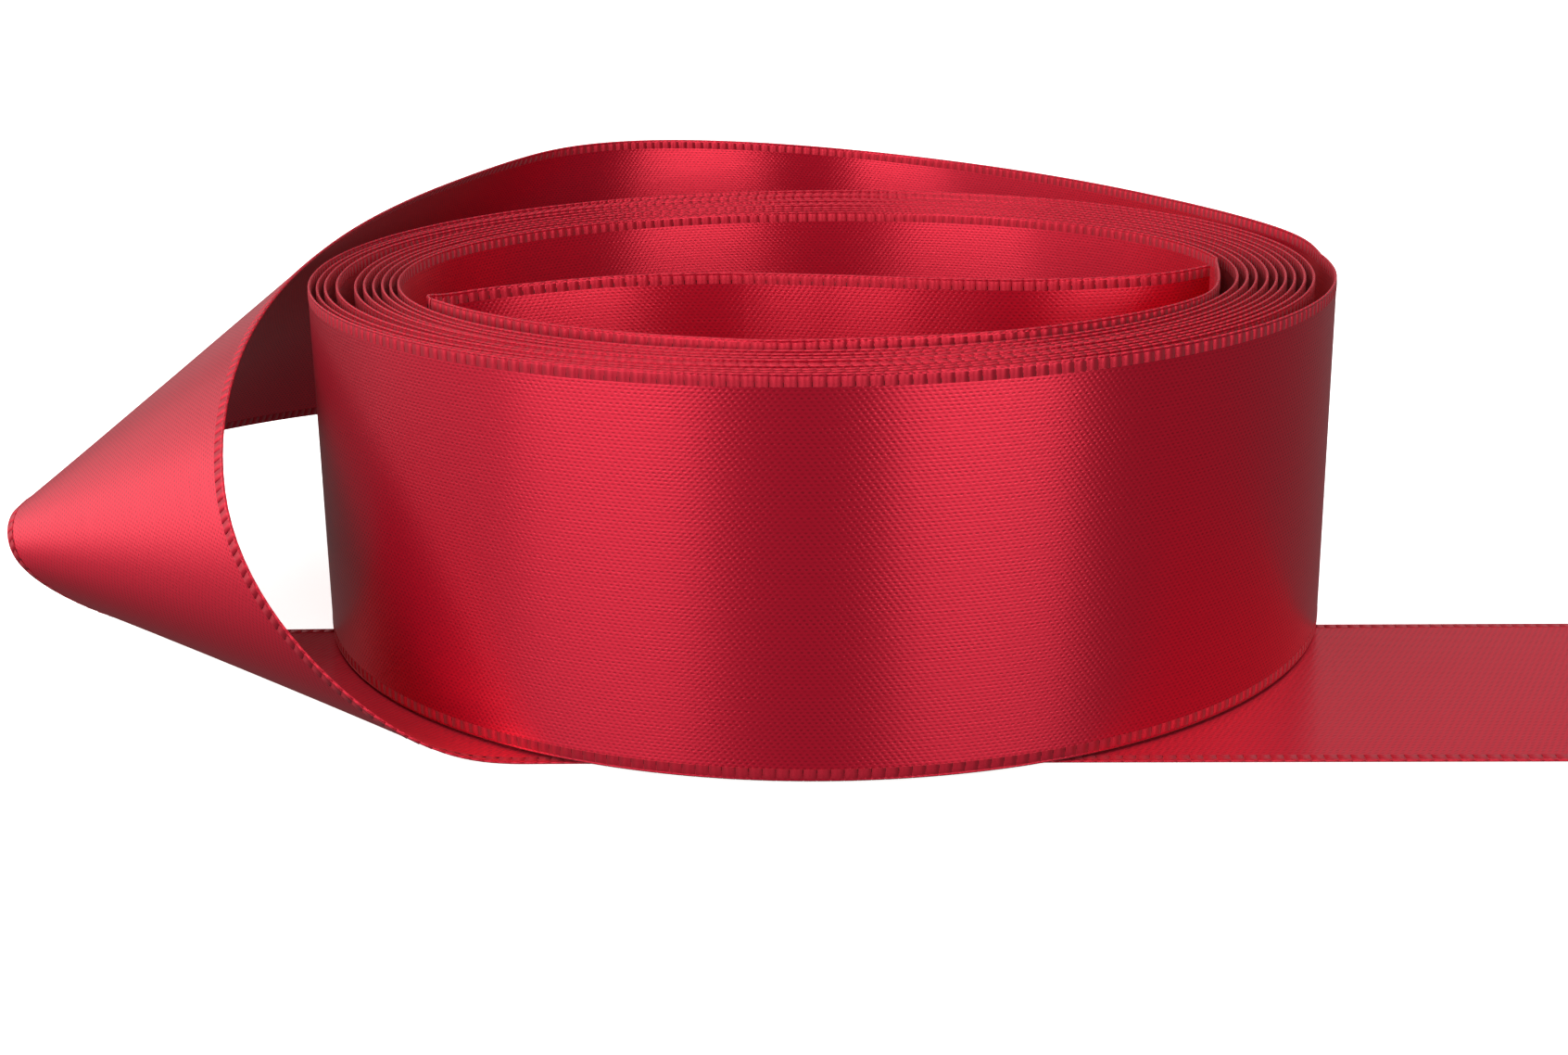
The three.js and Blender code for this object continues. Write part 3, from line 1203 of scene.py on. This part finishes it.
def facings(creases):
    """The way the cloth faces at each crease: at right angles to the crease and the run."""
    result = []
    for number, (lower, upper) in enumerate(creases):
        before = creases[max(number - 1, 0)]
        after = creases[min(number + 1, len(creases) - 1)]
        along = after[0] + after[1] - before[0] - before[1]
        result.append(along.cross(upper - lower).normalized())
    return result


print("ready to grow cloth")

# %% [markdown]
# Every stretch is grown twice: once as cloth and once as the stitches along its two selvedges.
# Both then ride on the same body. Where the stretch lists a bend, both stay fixed where they
# lie.

# %% Grow the cloth and the stitches
pieces_made = []
for stretch in stretches:
    creases = stretch["creases"]
    lowers = [in_place(crease[0]) for crease in creases]
    uppers = [in_place(crease[1]) for crease in creases]
    faces = facings(creases)
    cloth = grown(
        stretch["name"] + "_satin",
        guide_mesh(
            "guide",
            lowers + uppers,
            [],
            {
                "run": ("FLOAT", stretch["lower_runs"] + stretch["upper_runs"]),
                "facing": ("FLOAT_VECTOR", faces + faces),
            },
        ),
        cloth_tree,
        {
            "Creases": len(creases),
            "Rows Across": ROWS_ACROSS,
            "Thickness": CLOTH_THICKNESS,
            "Finish": satin,
        },
    )
    up = [(upper - lower).normalized() for lower, upper in zip(lowers, uppers)]
    down = [-direction for direction in up]
    count = len(creases)
    steps = [(k, k + 1) for k in range(count - 1)]
    steps += [(count + k, count + k + 1) for k in range(count - 1)]
    stitching = grown(
        stretch["name"] + "_selvedges",
        guide_mesh(
            "guide", lowers + uppers, steps, {"outward": ("FLOAT_VECTOR", down + up)}
        ),
        stitch_tree,
        {
            "Pitch": STITCH_PITCH,
            "Depth": STITCH_DEPTH,
            "Rise": STITCH_RISE,
            "Width": STITCH_WIDTH,
            "Foot Share": FOOT_SHARE,
            "Thread": THREAD_THICKNESS,
            "Cloth": CLOTH_THICKNESS,
            "Catch Radius": CATCH_RADIUS,
            "Finish": thread,
        },
    )
    for piece in (cloth, stitching):
        if "bend" in stretch:
            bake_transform(piece)
        else:
            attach(piece, stretch["bodies"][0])
    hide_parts(*stretch["nodes"])
    pieces_made += [cloth, stitching]
    print(
        cloth.name,
        round(stretch["length"] * 1000),
        "mm,",
        len(cloth.data.polygons),
        "+",
        len(stitching.data.polygons),
        "faces",
    )

# %% [markdown]
# ## Table, light and air
# The roll stands on a wide pale table. Softboxes stand in front of it to the left and to the
# right, with a gap between them where the camera is. The gap and the dark corners beside the
# softboxes draw the deep bands between the bright ones. Two weaker ones further round let the
# left side fall off slowly. One high at the right, one overhead and a lit backdrop reach the
# tail, the rims and what lies flat. The air itself gives little light, so that the bands stay
# deep, but looked at directly it is as pale as the table.

# %% Table
TABLE_REACH = 6.0

table_mesh = bpy.data.meshes.new("table")
corners = [(-1, -1), (1, -1), (1, 1), (-1, 1)]
table_mesh.from_pydata(
    [(x * TABLE_REACH, y * TABLE_REACH, 0) for x, y in corners], [], [(0, 1, 2, 3)]
)
table = bpy.data.objects.new("table", table_mesh)
bpy.context.scene.collection.objects.link(table)
table_finish = bpy.data.materials.new("pale table")
table_finish.use_nodes = True
table_shader = table_finish.node_tree.nodes["Principled BSDF"]
table_shader.inputs["Base Color"].default_value = (0.9, 0.89, 0.88, 1)
table_shader.inputs["Roughness"].default_value = 0.9
table_shader.inputs["Emission Color"].default_value = (1.0, 0.985, 0.97, 1)
table_shader.inputs["Emission Strength"].default_value = 0.85
table_mesh.materials.append(table_finish)
table.visible_diffuse = False
table.visible_glossy = False
print("table reaches", TABLE_REACH, "m each way")


# %% Softboxes
def softbox(name, azimuth, distance, height, size, power):
    """A large soft light, aimed at the roll. Azimuth 0 is in front and 90 at the right."""
    data = bpy.data.lights.new(name, "AREA")
    data.shape = "RECTANGLE"
    data.size, data.size_y = size
    data.energy = power
    light = bpy.data.objects.new(name, data)
    angle = math.radians(azimuth)
    spot = ROLL_MIDDLE + Vector(
        (distance * math.sin(angle), -distance * math.cos(angle), height)
    )
    aim = ROLL_MIDDLE + Vector((0, 0, RIBBON_WIDTH / 2 * MM)) - spot
    turn = aim.to_track_quat("-Z", "Y").to_matrix().to_4x4()
    light.matrix_world = Matrix.Translation(spot) @ turn
    light.visible_camera = False
    bpy.context.scene.collection.objects.link(light)
    return light


softbox("left softbox", -46, 1.0, 0.42, (0.85, 0.84), 9.0)
softbox("far left softbox", -92, 1.0, 0.42, (0.85, 0.84), 4.0)
softbox("rear left softbox", -124, 1.0, 0.25, (0.45, 0.46), 0.6)
softbox("right softbox", 33, 1.0, 0.25, (0.7, 0.46), 5.0)
softbox("high right softbox", 110, 0.9, 1.0, (0.6, 0.6), 2)
softbox("lit backdrop", 180, 1.4, 0.3, (2.4, 0.56), 2)
softbox("overhead softbox", 0, 0.1, 1.3, (1.6, 1.2), 12)
print("softboxes hung")

# %% Air around the table
AIR_LIGHT = 0.1

world = bpy.data.worlds.new("studio")
world.use_nodes = True
bpy.context.scene.world = world
world_tree = world.node_tree
background = world_tree.nodes["Background"]
background.inputs["Color"].default_value = (1.0, 0.99, 0.98, 1)
seen_directly = add_node(world_tree, "ShaderNodeLightPath").outputs["Is Camera Ray"]
world_tree.links.new(
    calculate(world_tree, "MULTIPLY_ADD", seen_directly, 1 - AIR_LIGHT, AIR_LIGHT),
    background.inputs["Strength"],
)
bpy.context.scene.view_settings.view_transform = "Standard"
print("studio lit")
